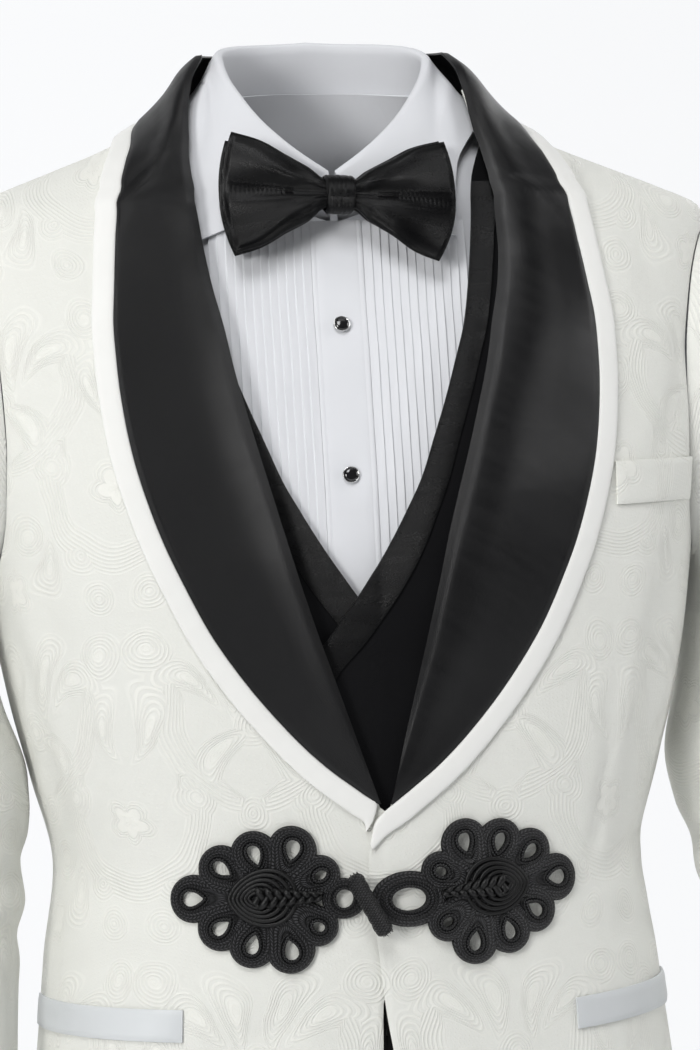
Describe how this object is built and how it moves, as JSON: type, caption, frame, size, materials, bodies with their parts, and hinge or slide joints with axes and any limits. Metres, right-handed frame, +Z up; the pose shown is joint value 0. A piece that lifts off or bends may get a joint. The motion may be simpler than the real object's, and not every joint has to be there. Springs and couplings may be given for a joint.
{
  "type": "tuxedo",
  "caption": "Complete hollow dinner suit: shawl-collar brocade jacket with frog fastening over waistcoat, pleated shirt, bow tie and trousers.",
  "frame": {"origin": "between the side neck points, level with the tops of the shoulders at the neck, where the set hangs on its wearer", "axes": "+Z up, +X the wearer's left, the front faces -Y"},
  "size_m": [0.6685, 0.2706, 1.5482],
  "materials": {
    "ivory_brocade": "matt jacquard with a raised tone-on-tone scroll pattern",
    "white_satin": "white satin, soft sheen",
    "black_satin": "black satin, broad soft sheen",
    "black_waistcoat_cloth": "black, fine matt weave",
    "white_shirt_cotton": "white cotton poplin, matt",
    "black_braid": "black braided cord, silky",
    "black_trouser_wool": "black worsted wool, matt",
    "black_enamel": "black enamel, glossy"
  },
  "bodies": {
    "root": {"bow_back": "black_satin", "bow_band": "black_satin", "bow_front": "black_satin", "bow_knot": "black_satin", "breast_welt": "ivory_brocade", "frog_left": "black_braid", "frog_right": "black_braid", "frog_toggle": "black_braid", "hip_welt_left": "white_satin", "hip_welt_right": "white_satin", "jacket_back_left": "ivory_brocade", "jacket_back_right": "ivory_brocade", "jacket_front_left": "ivory_brocade", "jacket_front_right": "ivory_brocade", "jacket_sleeve_left": "ivory_brocade", "jacket_sleeve_right": "ivory_brocade", "lapel_left": "black_satin", "lapel_right": "black_satin", "lapel_trim_left": "white_satin", "lapel_trim_right": "white_satin", "shirt_back": "white_shirt_cotton", "shirt_bib_left": "white_shirt_cotton", "shirt_bib_right": "white_shirt_cotton", "shirt_collar": "white_shirt_cotton", "shirt_front_left": "white_shirt_cotton", "shirt_front_right": "white_shirt_cotton", "shirt_placket": "white_shirt_cotton", "shirt_sleeve_left": "white_shirt_cotton", "shirt_sleeve_right": "white_shirt_cotton", "stud_1": "black_enamel", "stud_2": "black_enamel", "trouser_left": "black_trouser_wool", "trouser_right": "black_trouser_wool", "waistband": "black_trouser_wool", "waistcoat_back": "black_waistcoat_cloth", "waistcoat_band_left": "black_satin", "waistcoat_band_right": "black_satin", "waistcoat_front_left": "black_waistcoat_cloth", "waistcoat_front_right": "black_waistcoat_cloth"}
  },
  "joints": []
}
